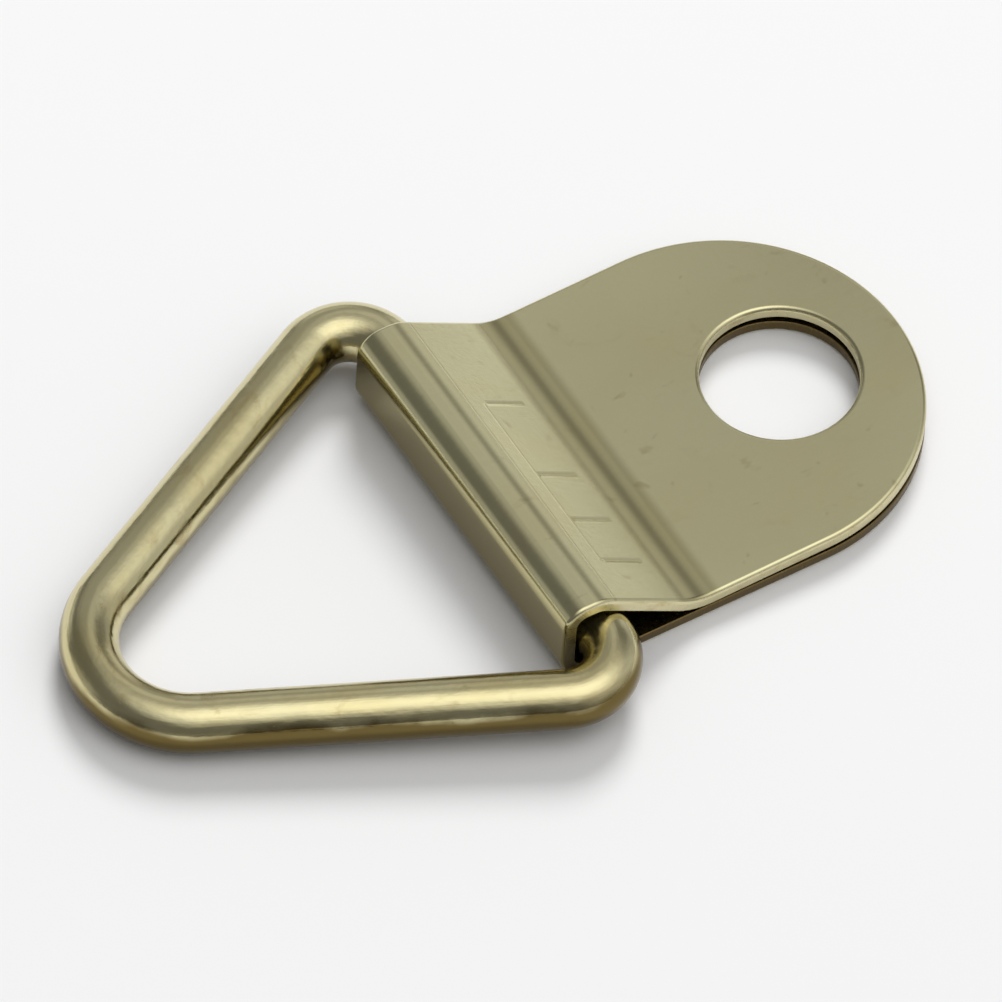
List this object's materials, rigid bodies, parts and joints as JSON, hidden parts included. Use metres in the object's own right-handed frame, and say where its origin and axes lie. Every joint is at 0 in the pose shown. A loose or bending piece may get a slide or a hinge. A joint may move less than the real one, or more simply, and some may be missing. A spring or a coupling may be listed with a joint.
{
  "type": "d ring picture hanger",
  "caption": "Strap hanger folded from thin sheet with a screw hole, holding a hinged wire triangle that picture cord or a hook hangs from.",
  "frame": {"origin": "centre of the screw hole, on the back face that lies against the picture frame", "axes": "+Z away from the surface that the strap is screwed to, +Y from the screw hole to the ring, +X along the ring's hinge line"},
  "size_m": [0.0142, 0.0236, 0.0025],
  "materials": {
    "brass_plate": "bright brass plate on steel sheet, lightly brushed and tarnished",
    "brass_wire": "bright brass plate on drawn steel wire"
  },
  "bodies": {
    "strap": {"strap": "brass_plate"},
    "ring": {"ring": "brass_wire"}
  },
  "joints": [
    {"name": "ring_swing", "type": "hinge", "parent": "strap", "child": "ring", "pos_m": [0, 0.00815, 0.00115], "axis": [1, 0, 0], "range_deg": [-142, 173]}
  ]
}
